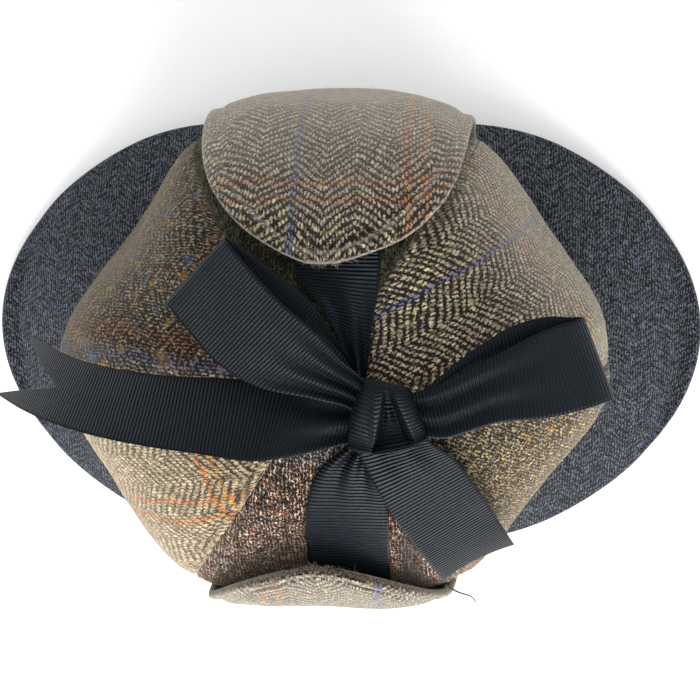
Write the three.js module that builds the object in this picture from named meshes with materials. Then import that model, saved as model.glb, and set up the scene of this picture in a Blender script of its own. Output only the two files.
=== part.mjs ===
// Deerstalker hat with its ear flaps folded up over the crown and tied by a ribbon bow.
// Millimetres, +Z up. The front is towards -Y and the wearer's left is +X.
// The hat rests on the outer edges of its two peaks, in the plane z = 0.

import * as THREE from 'three';
import { mergeVertices } from 'three/addons/utils/BufferGeometryUtils.js';

// ---------------------------------------------------------------- driving sizes

const RIM_HALF_LENGTH = 101;      // outside of the crown's edge, front to back
const RIM_HALF_WIDTH = 94;
const RIM_HEIGHT = 28;            // crown's edge above the surface the peaks rest on
const CROWN_WALL = 2.5;
const CLEARANCE = 0.3;            // between two pieces that are sewn to each other
const GORES = 6;
const APEX_RADIUS = 1.2;          // the gores' tips stop here
const GORE_FLATTENING = 0.075;    // how far the cloth spans flat between two seams

const PEAK_THICKNESS = 3;
const PEAK_HALF_LENGTH = 163.5;   // both peaks share one oval outline
const PEAK_HALF_WIDTH = 105;
const PEAK_HALF_SPAN = rad(68);   // rim angle at which a peak ends, under the ear flaps
const PEAK_FULL_SPAN = rad(42);   // and at which it starts to leave the oval
const PEAK_DROP_AT_TIP = rad(42); // slope of a peak beside the ear flaps
const PEAK_END_WIDTH = 1.5;       // what is left of a peak at its two ends
const PEAK_REST = 10;             // strip of each peak's middle that lies flat on the surface

const FLAP_HALF_WIDTH = 51.5;
const FLAP_THICKNESS = 4.5;
const FLAP_HINGE_HALF_WIDTH = 27; // sewn stretch, between the ends of the two peaks
const FLAP_ROUNDNESS = 3.1;       // exponent of its rounded end, 2 for an ellipse

const RIBBON_WIDTH = 30;
const RIBBON_THICKNESS = 1;
const TAIL_NOTCH = 0.26;          // depth of the long tail's V cut, as a share of its length
const TAIL_SLANT = 0.035;         // how far the short tail's cut leans
const TAIL_CURVE = 0.05;          // and how far it curves inward
const KNOT = {
  x: -5, y: -26, z: 155.2,
  halfLength: 13.5, halfWidth: 12.2, halfHeight: 7.3,
  softness: 0.8,                  // exponent under 1 squares its corners a little
  turn: rad(-20),
};

// Crown meridian from its edge to its apex. spread scales the rim's oval, rise is the height over the rim.
const MERIDIAN = [
  { spread: 1.000, rise: 0 },
  { spread: 1.075, rise: 18 },
  { spread: 1.120, rise: 40 },
  { spread: 1.085, rise: 64 },
  { spread: 0.975, rise: 86 },
  { spread: 0.810, rise: 102 },
  { spread: 0.590, rise: 113 },
  { spread: 0.310, rise: 118 },
  { spread: 0.000, rise: 119 },
];

// Dents and swells of the soft crown: place, reach over the meridian and round the oval, and depth inwards.
const DENTS = [
  { angle: 90, share: 0.62, reach: 0.22, turn: 42, depth: 5 },
  { angle: -90, share: 0.62, reach: 0.22, turn: 42, depth: 5 },
  { angle: 141, share: 0.32, reach: 0.22, turn: 24, depth: 9 },
  { angle: 44, share: 0.34, reach: 0.20, turn: 22, depth: 6 },
  { angle: -46, share: 0.34, reach: 0.22, turn: 24, depth: 5 },
  { angle: 180, share: 0.38, reach: 0.20, turn: 20, depth: 1.5 },
  { angle: 3, share: 0.36, reach: 0.16, turn: 6, depth: 2.5 },
];

function rad(degrees) {
  return degrees * Math.PI / 180;
}

// ---------------------------------------------------------------- the crown's surface

const MERIDIAN_SCALE = 95;        // mean rim radius, so that shares run evenly over the cloth
const SLACK_SHARE = 0.25;         // share of the meridian over which the gores leave the rim's oval
const HIGHEST_SHARE = 0.985;      // normals are read no closer to the apex
const NORMAL_STEP = 0.004;
const meridian = new THREE.CatmullRomCurve3(
  MERIDIAN.map((row) => new THREE.Vector3(row.spread * MERIDIAN_SCALE, row.rise, 0)), false, 'centripetal');
meridian.arcLengthDivisions = 400;

function bell(value) {
  return Math.exp(-value * value);
}

function dentDepth(angle, share) {
  let depth = 0;
  for (const dent of DENTS) {
    const turn = Math.atan2(Math.sin(angle - rad(dent.angle)), Math.cos(angle - rad(dent.angle)));
    depth += dent.depth * bell((share - dent.share) / dent.reach) * bell(turn / rad(dent.turn));
  }
  return depth;
}

// A point of the crown's outside: angle 0 is the front, 90 degrees the wearer's left.
function crownPoint(angle, share) {
  const place = meridian.getPointAt(share);
  const spread = Math.max(place.x / MERIDIAN_SCALE, 0);
  const slack = Math.min(share / SLACK_SHARE, 1);
  const chord = Math.sin(angle * GORES / 2) ** 2;
  const dent = dentDepth(angle, share) / MERIDIAN_SCALE;
  const plan = spread * (1 - GORE_FLATTENING * slack * chord - dent);
  return new THREE.Vector3(
    RIM_HALF_WIDTH * plan * Math.sin(angle),
    -RIM_HALF_LENGTH * plan * Math.cos(angle),
    RIM_HEIGHT + place.y);
}

function outwardNormal(surface, a, b) {
  const alongA = surface(a + NORMAL_STEP, b).sub(surface(a - NORMAL_STEP, b));
  const lower = Math.max(b - NORMAL_STEP, 0);
  const upper = Math.min(b + NORMAL_STEP, 1);
  const alongB = surface(a, upper).sub(surface(a, lower));
  return alongA.cross(alongB).normalize();
}

// ---------------------------------------------------------------- a wall of even thickness

const WALL_STEP = 0.002;

// Makes a closed solid whose outside is surface(u, v), u and v from 0 to 1.
function wallGeometry(surface, columns, rows, thickness) {
  const outside = [];
  const inside = [];
  for (let j = 0; j <= rows; j++) {
    for (let i = 0; i <= columns; i++) {
      const point = surface(i / columns, j / rows);
      outside.push(point);
      inside.push(point.clone().addScaledVector(wallNormal(surface, i / columns, j / rows), -thickness));
    }
  }
  return closeWall(outside, inside, columns, rows);
}

function wallNormal(surface, u, v) {
  const du = surface(Math.min(u + WALL_STEP, 1), v).sub(surface(Math.max(u - WALL_STEP, 0), v));
  const dv = surface(u, Math.min(v + WALL_STEP, 1)).sub(surface(u, Math.max(v - WALL_STEP, 0)));
  return du.cross(dv).normalize();
}

// Joins two grids of points, and the gap all round their borders, into one closed solid.
function closeWall(front, back, columns, rows) {
  const count = front.length;
  const positions = [...front, ...back].flatMap((p) => [p.x, p.y, p.z]);
  const index = [];
  const at = (i, j) => j * (columns + 1) + i;
  const quad = (a, b, c, d) => index.push(a, b, c, a, c, d);
  for (let j = 0; j < rows; j++) {
    for (let i = 0; i < columns; i++) {
      const [a, b, c, d] = [at(i, j), at(i + 1, j), at(i + 1, j + 1), at(i, j + 1)];
      quad(a, b, c, d);
      quad(a + count, d + count, c + count, b + count);
    }
  }
  const border = borderOf(columns, rows, at);
  border.forEach((a, k) => {
    const b = border[(k + 1) % border.length];
    quad(a, a + count, b + count, b);
  });
  const geometry = new THREE.BufferGeometry();
  geometry.setAttribute('position', new THREE.Float32BufferAttribute(positions, 3));
  geometry.setIndex(signedVolume(positions, index) < 0 ? flipped(index) : index);
  geometry.computeVertexNormals();
  return geometry;
}

function borderOf(columns, rows, at) {
  const border = [];
  for (let i = 0; i < columns; i++) border.push(at(i, 0));
  for (let j = 0; j < rows; j++) border.push(at(columns, j));
  for (let i = columns; i > 0; i--) border.push(at(i, rows));
  for (let j = rows; j > 0; j--) border.push(at(0, j));
  return border;
}

function signedVolume(positions, index) {
  const corner = (k) => new THREE.Vector3().fromArray(positions, index[k] * 3);
  let volume = 0;
  for (let k = 0; k < index.length; k += 3) {
    volume += corner(k).dot(corner(k + 1).cross(corner(k + 2))) / 6;
  }
  return volume;
}

function flipped(index) {
  const turned = [];
  for (let k = 0; k < index.length; k += 3) turned.push(index[k], index[k + 2], index[k + 1]);
  return turned;
}

// ---------------------------------------------------------------- pieces

function cloth(color, roughness = 0.95) {
  return new THREE.MeshStandardMaterial({ color, roughness, metalness: 0 });
}

function piece(name, geometry, material) {
  const mesh = new THREE.Mesh(geometry, material);
  mesh.name = name;
  return mesh;
}

const GORE_TURN = rad(360 / GORES);
const GORE_COLUMNS = 10;
const GORE_ROWS = 16;

// One gore, from the rim to its tip, a hair short of the seam on either side.
function crownGore(first) {
  const tip = 1 - APEX_RADIUS / meridian.getLength();
  const surface = (u, v) => {
    const share = v * tip;
    const middle = crownPoint(first + GORE_TURN / 2, share);
    const trim = CLEARANCE / 2 / Math.hypot(middle.x, middle.y);
    return crownPoint(first + trim + u * (GORE_TURN - 2 * trim), share);
  };
  return wallGeometry(surface, GORE_COLUMNS, GORE_ROWS, CROWN_WALL);
}

function rimPoint(angle) {
  return new THREE.Vector3(RIM_HALF_WIDTH * Math.sin(angle), -RIM_HALF_LENGTH * Math.cos(angle), 0);
}

function rimNormal(angle) {
  return new THREE.Vector3(Math.sin(angle) / RIM_HALF_WIDTH, -Math.cos(angle) / RIM_HALF_LENGTH, 0)
    .normalize();
}

// How far the oval outline lies outside the rim, along the rim's normal.
function peakWidth(angle) {
  const point = rimPoint(angle);
  const normal = rimNormal(angle);
  const a = (normal.x / PEAK_HALF_WIDTH) ** 2 + (normal.y / PEAK_HALF_LENGTH) ** 2;
  const b = point.x * normal.x / PEAK_HALF_WIDTH ** 2 + point.y * normal.y / PEAK_HALF_LENGTH ** 2;
  const c = (point.x / PEAK_HALF_WIDTH) ** 2 + (point.y / PEAK_HALF_LENGTH) ** 2 - 1;
  return (-b + Math.sqrt(b * b - a * c)) / a;
}

// A peak's width at a turn from its middle: full over most of its span, then rounded off.
function cutWidth(heading, turn) {
  const past = Math.max(Math.abs(turn) - PEAK_FULL_SPAN, 0) / (PEAK_HALF_SPAN - PEAK_FULL_SPAN);
  const kept = Math.sqrt(Math.max(1 - past * past, 0));
  return PEAK_END_WIDTH + (peakWidth(heading + turn) - PEAK_END_WIDTH) * kept;
}

// The top of a peak. heading is 0 for the front peak and half a turn for the rear one.
function peakSurface(heading) {
  const topHeight = RIM_HEIGHT - CLEARANCE;
  const middleDrop = Math.atan2(topHeight - PEAK_THICKNESS, peakWidth(heading) - PEAK_REST);
  return (u, v) => {
    const turn = (2 * u - 1) * PEAK_HALF_SPAN;
    const slope = middleDrop + (PEAK_DROP_AT_TIP - middleDrop) * (turn / PEAK_HALF_SPAN) ** 2;
    const out = -CROWN_WALL + v * (cutWidth(heading, turn) + CROWN_WALL);
    const point = rimPoint(heading + turn).addScaledVector(rimNormal(heading + turn), out);
    point.z = Math.max(topHeight - Math.max(out, 0) * Math.tan(slope), PEAK_THICKNESS);
    return point;
  };
}

const PEAK_COLUMNS = 30;
const PEAK_ROWS = 8;

function peak(heading) {
  const top = [];
  const bottom = [];
  const surface = peakSurface(heading);
  for (let j = 0; j <= PEAK_ROWS; j++) {
    for (let i = 0; i <= PEAK_COLUMNS; i++) {
      const point = surface(i / PEAK_COLUMNS, j / PEAK_ROWS);
      top.push(point);
      bottom.push(new THREE.Vector3(point.x, point.y, point.z - PEAK_THICKNESS));
    }
  }
  return closeWall(top, bottom, PEAK_COLUMNS, PEAK_ROWS);
}

// The crown's outside at a given place front to back, pushed out along its normal.
function besideCrown(side, forward, share, out) {
  const place = meridian.getPointAt(share);
  const length = RIM_HALF_LENGTH * place.x / MERIDIAN_SCALE;
  const angle = side * (Math.PI / 2 + Math.asin(forward / length));
  const normal = outwardNormal(crownPoint, angle, share);
  return crownPoint(angle, share).addScaledVector(normal, out);
}

// Rows of an ear flap from its sewn edge, under the crown's rim, over the fold and up to its free end.
// out and up are measured from the rim up to the fold, share and out over the crown after it.
const FLAP_STARTS = [
  { out: -1.2, up: -3.0, half: FLAP_HINGE_HALF_WIDTH },
  { out: 3.0, up: -3.4, half: FLAP_HINGE_HALF_WIDTH },
  { out: 8.0, up: 1.5, half: FLAP_HALF_WIDTH - 3 },
  { out: 10.0, up: 6.0, half: FLAP_HALF_WIDTH },
];
const FLAP_FOLD_OUT = 10.0;       // the last start's distance from the rim
const FLAP_CORNER_TUCK = 3.0;     // how much closer its lower corners lie to the crown
const FLAP_COLUMNS = 16;
const FLAP_STEPS = 14;            // rows over the crown
const FLAP_END = 0.997;           // the last row's place along the lie, so that it keeps some width
const SHARE_SCALE = 200;          // evens out the steps of the curve through the lies
const FLAPS = [
  {
    name: 'ear_flap_left', side: 1, shift: -3,
    lies: [
      { share: 0.07, out: 9.5 },
      { share: 0.20, out: 7.0 },
      { share: 0.35, out: 5.5 },
      { share: 0.50, out: 5.0 },
      { share: 0.62, out: 5.0 },
      { share: 0.745, out: 5.5 },
    ],
  },
  {
    name: 'ear_flap_right', side: -1, shift: -1,
    lies: [
      { share: 0.07, out: 8.5 },
      { share: 0.18, out: 5.5 },
      { share: 0.30, out: 4.5 },
      { share: 0.42, out: 5.0 },
      { share: 0.53, out: 7.0 },
      { share: 0.64, out: 10.5 },
    ],
  },
];

function earFlap(flap) {
  return gridWall([...flapStart(flap), ...flapLie(flap)], FLAP_THICKNESS);
}

function cornerTuck(across) {
  return FLAP_CORNER_TUCK * across * across;
}

function flapStart(flap) {
  return FLAP_STARTS.map((row) => span(FLAP_COLUMNS, row.half, (offset, across) => {
    const angle = flap.side * (Math.PI / 2 + Math.asin((flap.shift + offset) / RIM_HALF_LENGTH));
    const out = row.out - cornerTuck(across) * Math.max(row.out, 0) / FLAP_FOLD_OUT;
    const point = rimPoint(angle).addScaledVector(rimNormal(angle), out);
    point.z = RIM_HEIGHT + row.up;
    return point;
  }));
}

function flapLie(flap) {
  const lie = new THREE.CatmullRomCurve3(
    flap.lies.map((row) => new THREE.Vector3(row.share * SHARE_SCALE, row.out, 0)));
  const rows = [];
  for (let j = 0; j <= FLAP_STEPS; j++) {
    const along = Math.sin(j / FLAP_STEPS * Math.PI / 2) * FLAP_END;
    const half = FLAP_HALF_WIDTH * Math.sqrt(1 - along ** FLAP_ROUNDNESS);
    const place = lie.getPoint(along);
    const eased = (1 - along) ** 2;
    rows.push(span(FLAP_COLUMNS, half, (offset, across) => besideCrown(
      flap.side, flap.shift + offset, place.x / SHARE_SCALE, place.y - eased * cornerTuck(across))));
  }
  return rows;
}

function span(columns, half, place) {
  const row = [];
  for (let i = 0; i <= columns; i++) {
    const across = 2 * i / columns - 1;
    row.push(place(half * across, across));
  }
  return row;
}

// A closed wall around a grid of middle points.
function gridWall(rows, thickness) {
  const last = rows.length - 1;
  const columns = rows[0].length - 1;
  const front = [];
  const back = [];
  rows.forEach((row, j) => row.forEach((point, i) => {
    const along = rows[Math.min(j + 1, last)][i].clone().sub(rows[Math.max(j - 1, 0)][i]);
    const across = row[Math.min(i + 1, columns)].clone().sub(row[Math.max(i - 1, 0)]);
    const normal = across.cross(along).normalize();
    front.push(point.clone().addScaledVector(normal, thickness / 2));
    back.push(point.clone().addScaledVector(normal, -thickness / 2));
  }));
  return closeWall(front, back, columns, last);
}

// ---------------------------------------------------------------- ribbon

const WIDEST_SHARE = 0.3;         // the crown narrows from here up
const HALVINGS = 24;

// The crown's outside above a place in plan, pushed out along its normal.
function onCrown(x, y, lift) {
  const angle = Math.atan2(x / RIM_HALF_WIDTH, -y / RIM_HALF_LENGTH);
  let low = WIDEST_SHARE;
  let high = 1;
  for (let k = 0; k < HALVINGS; k++) {
    const share = (low + high) / 2;
    const place = crownPoint(angle, share);
    if (Math.hypot(place.x, place.y) > Math.hypot(x, y)) low = share;
    else high = share;
  }
  const normal = outwardNormal(crownPoint, angle, Math.min(low, HIGHEST_SHARE));
  return crownPoint(angle, low).addScaledVector(normal, lift);
}

// The two sewn straps lie on the crown. x and y are the ribbon's middle, heading the direction of its width.
const STRAPS = {
  left: [
    { x: 7, y: -15, heading: -130, width: 7, lift: 1.6 },
    { x: 18, y: -13, heading: -120, width: 13, lift: 1.6 },
    { x: 27, y: -11, heading: -105, width: 18, lift: 1.5 },
    { x: 37, y: -8, heading: -95, width: 27, lift: 1.4 },
    { x: 46, y: -7, heading: -90, width: RIBBON_WIDTH, lift: 1.3 },
    { x: 70, y: -7, heading: -90, width: RIBBON_WIDTH, lift: 1.3 },
  ],
  right: [
    { x: -19, y: -16, heading: -105, width: 8, lift: 1.6 },
    { x: -29, y: -12, heading: -98, width: 22, lift: 1.5 },
    { x: -43, y: -11, heading: -90, width: 29, lift: 1.4 },
    { x: -62, y: -11, heading: -92, width: RIBBON_WIDTH, lift: 1.3 },
    { x: -84, y: -11, heading: -90, width: RIBBON_WIDTH, lift: 1.3 },
  ],
};

// The bow's own ribbons stand free. lean is how far the width direction rises.
const LOOP_FRONT = [
  { x: -1, y: -42, z: 151, heading: -160, lean: 0, width: 12 },
  { x: 6, y: -55, z: 150, heading: -162, lean: 0, width: 19 },
  { x: 11, y: -70, z: 147.5, heading: -164, lean: 0, width: 27 },
  { x: 13, y: -83, z: 144, heading: -160, lean: 0, width: RIBBON_WIDTH },
  { x: 13, y: -92.5, z: 142, heading: -158, lean: 0, width: RIBBON_WIDTH },
  { x: 13.5, y: -96.5, z: 145.5, heading: -158, lean: 0, width: RIBBON_WIDTH },
  { x: 13, y: -93.5, z: 149, heading: -158, lean: 0, width: RIBBON_WIDTH },
  { x: 11, y: -86, z: 152, heading: -160, lean: 0, width: RIBBON_WIDTH },
  { x: 8, y: -75, z: 155, heading: -168, lean: 0, width: 28 },
  { x: 4, y: -61, z: 157, heading: -172, lean: 0, width: 22 },
  { x: -1, y: -50, z: 157, heading: -166, lean: 0, width: 16.5 },
  { x: -4, y: -43, z: 156, heading: -160, lean: 0, width: 15 },
];
const LOOP_REAR = [
  { x: 4, y: -13, z: 153, heading: 150, lean: 0, width: 10 },
  { x: 12, y: -1, z: 153, heading: 146, lean: 0, width: 22 },
  { x: 23, y: 13, z: 151.5, heading: 140, lean: 0, width: RIBBON_WIDTH },
  { x: 34, y: 28, z: 149, heading: 138, lean: 0, width: RIBBON_WIDTH },
  { x: 40, y: 37, z: 147.5, heading: 137, lean: 0, width: RIBBON_WIDTH },
  { x: 42.5, y: 40, z: 151, heading: 137, lean: 0, width: RIBBON_WIDTH },
  { x: 40.5, y: 38, z: 154.5, heading: 137, lean: 0, width: RIBBON_WIDTH },
  { x: 33, y: 31, z: 157.5, heading: 137, lean: 0, width: RIBBON_WIDTH },
  { x: 23, y: 21, z: 160.5, heading: 137, lean: 0, width: RIBBON_WIDTH },
  { x: 14, y: 8, z: 161.5, heading: 133, lean: 0, width: 27 },
  { x: 8, y: -4, z: 161, heading: 140, lean: 0, width: 15 },
  { x: 4, y: -12, z: 158.5, heading: 150, lean: 0, width: 9 },
];
const TAIL_LONG = [
  { x: -9, y: -10, z: 151, heading: 165, lean: 4, width: 12 },
  { x: -9, y: 2, z: 154.5, heading: 158, lean: 18, width: 24 },
  { x: -7.5, y: 18, z: 158, heading: 170, lean: 36, width: RIBBON_WIDTH },
  { x: -6, y: 36, z: 158, heading: 177, lean: 43, width: RIBBON_WIDTH },
  { x: -5, y: 54, z: 156, heading: 176, lean: 48, width: RIBBON_WIDTH },
  { x: -3.5, y: 72, z: 151, heading: 173, lean: 51, width: RIBBON_WIDTH },
  { x: -1.5, y: 89, z: 142.5, heading: 169, lean: 52, width: RIBBON_WIDTH },
  { x: 0.5, y: 104, z: 129.5, heading: 166, lean: 50, width: RIBBON_WIDTH },
  { x: 2.5, y: 119.5, z: 111, heading: 164, lean: 47, width: RIBBON_WIDTH },
];
const TAIL_SHORT = [
  { x: -20, y: -29, z: 150.5, heading: -70, lean: 0, width: 22 },
  { x: -29, y: -36, z: 149.5, heading: -62, lean: -4, width: 28 },
  { x: -43, y: -45, z: 144, heading: -60, lean: -10, width: RIBBON_WIDTH },
  { x: -55, y: -52, z: 136, heading: -62, lean: -16, width: RIBBON_WIDTH },
  { x: -63, y: -56.3, z: 129, heading: -62, lean: -16, width: RIBBON_WIDTH },
  { x: -69.5, y: -59.5, z: 121.5, heading: -61, lean: -15, width: RIBBON_WIDTH },
];

// Reads one named column of a table at any place along it.
function columnAt(rows, name) {
  const curve = new THREE.CatmullRomCurve3(rows.map((row) => new THREE.Vector3(row[name], 0, 0)));
  return (v) => curve.getPoint(v).x;
}

// A ribbon through the rows of a table. place turns a row's middle and an offset across it into a point.
function ribbonGrid(rows, columns, steps, place, cut = () => 1) {
  const names = Object.keys(rows[0]);
  const read = Object.fromEntries(names.map((name) => [name, columnAt(rows, name)]));
  const grid = [];
  for (let j = 0; j <= steps; j++) {
    const line = [];
    for (let i = 0; i <= columns; i++) {
      const across = 2 * i / columns - 1;
      const v = j / steps * cut(across);
      const row = Object.fromEntries(names.map((name) => [name, read[name](v)]));
      line.push(place(row, across * row.width / 2));
    }
    grid.push(line);
  }
  return grid;
}

function lyingPlace(row, offset) {
  const x = row.x + offset * Math.cos(rad(row.heading));
  const y = row.y + offset * Math.sin(rad(row.heading));
  return onCrown(x, y, row.lift);
}

function freePlace(row, offset) {
  const level = offset * Math.cos(rad(row.lean));
  return new THREE.Vector3(
    row.x + level * Math.cos(rad(row.heading)),
    row.y + level * Math.sin(rad(row.heading)),
    row.z + offset * Math.sin(rad(row.lean)));
}

const STRAP_COLUMNS = 6;
const STRAP_STEPS = 14;
const FREE_COLUMNS = 4;
const LOOP_STEPS = 34;
const TAIL_STEPS = 24;
const KNOT_COLUMNS = 20;
const KNOT_ROWS = 14;

function strap(rows) {
  return gridWall(ribbonGrid(rows, STRAP_COLUMNS, STRAP_STEPS, lyingPlace), RIBBON_THICKNESS);
}

function freeRibbon(rows, steps, cut) {
  return gridWall(ribbonGrid(rows, FREE_COLUMNS, steps, freePlace, cut), RIBBON_THICKNESS);
}

// The knot: a flattened round with soft corners.
function knot() {
  const geometry = mergeVertices(stripped(new THREE.SphereGeometry(1, KNOT_COLUMNS, KNOT_ROWS)));
  const position = geometry.attributes.position;
  const point = new THREE.Vector3();
  const soft = (value) => Math.sign(value) * Math.abs(value) ** KNOT.softness;
  for (let k = 0; k < position.count; k++) {
    point.fromBufferAttribute(position, k);
    const [x, y, z] = [soft(point.x), soft(point.y), soft(point.z)];
    position.setXYZ(k, x * KNOT.halfWidth, y * KNOT.halfLength, z * KNOT.halfHeight);
  }
  geometry.rotateZ(KNOT.turn);
  geometry.translate(KNOT.x, KNOT.y, KNOT.z);
  return geometry;
}

// Leaves only the positions, so that corners in the same place merge.
function stripped(geometry) {
  geometry.deleteAttribute('normal');
  geometry.deleteAttribute('uv');
  return geometry;
}

// ---------------------------------------------------------------- the hat

const PEAK_CLOTH = cloth(0x3c4148);
const FLAP_CLOTH = cloth(0x8f8466);
const RIBBON = cloth(0x17191d, 0.55);
const GORE_CLOTHS = [
  { name: 'crown_panel_front_left', from: 0, color: 0x8a7a60 },
  { name: 'crown_panel_left', from: 60, color: 0x4c4a38 },
  { name: 'crown_panel_rear_left', from: 120, color: 0x6b5a45 },
  { name: 'crown_panel_rear_right', from: 180, color: 0xa89a7c },
  { name: 'crown_panel_right', from: 240, color: 0x6e5045 },
  { name: 'crown_panel_front_right', from: 300, color: 0x7a6236 },
];
const vCut = (across) => 1 - TAIL_NOTCH * (1 - Math.abs(across));
const slantCut = (across) => 1 - TAIL_SLANT * (1 - across) - TAIL_CURVE * (1 - across * across);

const group = new THREE.Group();
for (const row of GORE_CLOTHS) {
  group.add(piece(row.name, crownGore(rad(row.from)), cloth(row.color)));
}
group.add(piece('peak_front', peak(0), PEAK_CLOTH));
group.add(piece('peak_rear', peak(Math.PI), PEAK_CLOTH));
for (const flap of FLAPS) {
  group.add(piece(flap.name, earFlap(flap), FLAP_CLOTH));
}
group.add(piece('ribbon_strap_left', strap(STRAPS.left), RIBBON));
group.add(piece('ribbon_strap_right', strap(STRAPS.right), RIBBON));
group.add(piece('bow_loop_front', freeRibbon(LOOP_FRONT, LOOP_STEPS), RIBBON));
group.add(piece('bow_loop_rear', freeRibbon(LOOP_REAR, LOOP_STEPS), RIBBON));
group.add(piece('bow_tail_long', freeRibbon(TAIL_LONG, TAIL_STEPS, vCut), RIBBON));
group.add(piece('bow_tail_short', freeRibbon(TAIL_SHORT, TAIL_STEPS, slantCut), RIBBON));
group.add(piece('bow_knot', knot(), RIBBON));

export default group;
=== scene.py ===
"""Deerstalker hat, its ear flaps tied up over the crown with a black grosgrain bow.

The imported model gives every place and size. Each cloth piece is a grid shaped over it, given its
thickness, and covered with a tweed or a grosgrain whose weave follows the cloth.
"""
import math
import random

import bpy
from mathutils import Matrix, Vector, noise


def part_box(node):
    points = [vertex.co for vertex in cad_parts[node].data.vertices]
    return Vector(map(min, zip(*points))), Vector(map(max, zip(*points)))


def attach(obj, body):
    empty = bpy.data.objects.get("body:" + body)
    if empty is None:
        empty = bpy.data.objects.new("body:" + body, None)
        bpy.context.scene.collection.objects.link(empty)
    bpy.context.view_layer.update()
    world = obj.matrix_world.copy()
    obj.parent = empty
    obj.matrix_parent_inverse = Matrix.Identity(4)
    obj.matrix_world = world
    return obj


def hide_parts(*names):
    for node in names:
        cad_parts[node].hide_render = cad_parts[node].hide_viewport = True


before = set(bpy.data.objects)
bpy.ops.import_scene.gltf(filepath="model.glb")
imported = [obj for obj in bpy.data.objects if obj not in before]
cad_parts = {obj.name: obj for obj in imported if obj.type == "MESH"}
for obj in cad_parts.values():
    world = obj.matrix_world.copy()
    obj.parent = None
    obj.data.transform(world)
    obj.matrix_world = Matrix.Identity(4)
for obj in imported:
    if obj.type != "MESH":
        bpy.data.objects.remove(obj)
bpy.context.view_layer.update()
MM = 0.001
GRAIN = random.Random(7)


# ------------------------------------------------------------------ sizes, from the frame

def lowest(node):
    return Vector(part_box(node)[0])


def highest(node):
    return Vector(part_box(node)[1])


RIM_HEIGHT = lowest("crown_panel_left").z
CROWN_TOP = highest("crown_panel_left").z
PEAK_HALF_LENGTH = highest("peak_rear").y
CLEARANCE = 0.3 * MM                 # between the peaks and the crown above them
RIM_HALF_LENGTH = 101 * MM
RIM_HALF_WIDTH = 94 * MM
CROWN_RISE = CROWN_TOP - RIM_HEIGHT
CROWN_WALL = 2.2 * MM
PEAK_THICKNESS = 3 * MM
PEAK_HALF_WIDTH = 105 * MM
PEAK_HALF_SPAN = math.radians(68)
PEAK_FULL_SPAN = math.radians(42)
PEAK_END_WIDTH = 1.5 * MM
PEAK_REST = 10 * MM                  # strip of each peak that lies flat
PEAK_SINK = 1.8 * MM                 # how far its edge presses down onto the surface
PEAK_DROP_AT_TIP = math.radians(42)
FLAP_HALF_WIDTH = 51.5 * MM
FLAP_HINGE_HALF_WIDTH = 27 * MM
FLAP_ROUNDNESS = 3.1
FLAP_THICKNESS = 4.2 * MM
FLAP_CORNER_TUCK = 3 * MM
RIBBON_WIDTH = 30 * MM
RIBBON_THICKNESS = 0.5 * MM
GORES = 6
GORE_FLATTENING = 0.075

# The crown's meridian: spread scales the rim's oval, rise is the share of the crown's height.
MERIDIAN = [
    (1.000, 0), (1.075, 18 / 119), (1.120, 40 / 119), (1.085, 64 / 119), (0.975, 86 / 119),
    (0.810, 102 / 119), (0.590, 113 / 119), (0.310, 118 / 119), (0.000, 1),
]
# Dents of the soft crown: angle round it, share of the meridian, reach, turn and depth.
DENTS = [
    (90, 0.62, 0.22, 42, 5), (-90, 0.62, 0.22, 42, 5), (141, 0.32, 0.22, 24, 9),
    (44, 0.34, 0.20, 22, 6), (-46, 0.34, 0.22, 24, 5), (180, 0.38, 0.20, 20, 1.5),
    (3, 0.36, 0.16, 6, 2.5),
]


# ------------------------------------------------------------------ curves

def through(a, b, c, d, t):
    """The smooth curve from b to c, at share t, with a and d as its neighbours."""
    return 0.5 * (2 * b + (c - a) * t + (2 * a - 5 * b + 4 * c - d) * t * t
                  + (3 * b - a - 3 * c + d) * t * t * t)


class Route:
    """A smooth curve through rows of numbers, read at a share of its length or of its rows."""

    def __init__(self, rows, measured=2):
        self.rows = [tuple(row) for row in rows]
        self.measured = measured
        fine = 24 * (len(rows) - 1)
        self.shares = [k / fine for k in range(fine + 1)]
        self.lengths = [0.0]
        for a, b in zip(self.shares, self.shares[1:]):
            step = math.dist(self.at_rows(a)[:measured], self.at_rows(b)[:measured])
            self.lengths.append(self.lengths[-1] + step)

    def at_rows(self, share):
        """Evenly spaced rows."""
        last = len(self.rows) - 1
        place = min(max(share, 0.0), 1.0) * last
        k = min(int(place), last - 1)
        t = place - k
        row = lambda n: self.rows[min(max(n, 0), last)]
        p0, p1, p2, p3 = row(k - 1), row(k), row(k + 1), row(k + 2)
        if k == 0:
            p0 = tuple(2 * a - b for a, b in zip(p1, p2))
        if k == last - 1:
            p3 = tuple(2 * b - a for a, b in zip(p1, p2))
        return tuple(through(*four, t) for four in zip(p0, p1, p2, p3))

    def at(self, share):
        """Even steps of length."""
        target = min(max(share, 0.0), 1.0) * self.lengths[-1]
        low, high = 0, len(self.lengths) - 1
        while high - low > 1:
            middle = (low + high) // 2
            if self.lengths[middle] <= target:
                low = middle
            else:
                high = middle
        span = self.lengths[high] - self.lengths[low]
        part = (target - self.lengths[low]) / span if span else 0.0
        return self.at_rows(self.shares[low] + part * (self.shares[high] - self.shares[low]))

    @property
    def length(self):
        return self.lengths[-1]


MEAN_RADIUS = 95 * MM
meridian = Route([(spread * MEAN_RADIUS, rise * CROWN_RISE) for spread, rise in MERIDIAN])


def bell(value):
    return math.exp(-value * value)


def wrapped(angle):
    return math.atan2(math.sin(angle), math.cos(angle))


def dent_depth(angle, share):
    depths = 0.0
    for turned, at, reach, turn, depth in DENTS:
        aside = wrapped(angle - math.radians(turned)) / math.radians(turn)
        depths += depth * MM * bell((share - at) / reach) * bell(aside)
    return depths


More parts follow.
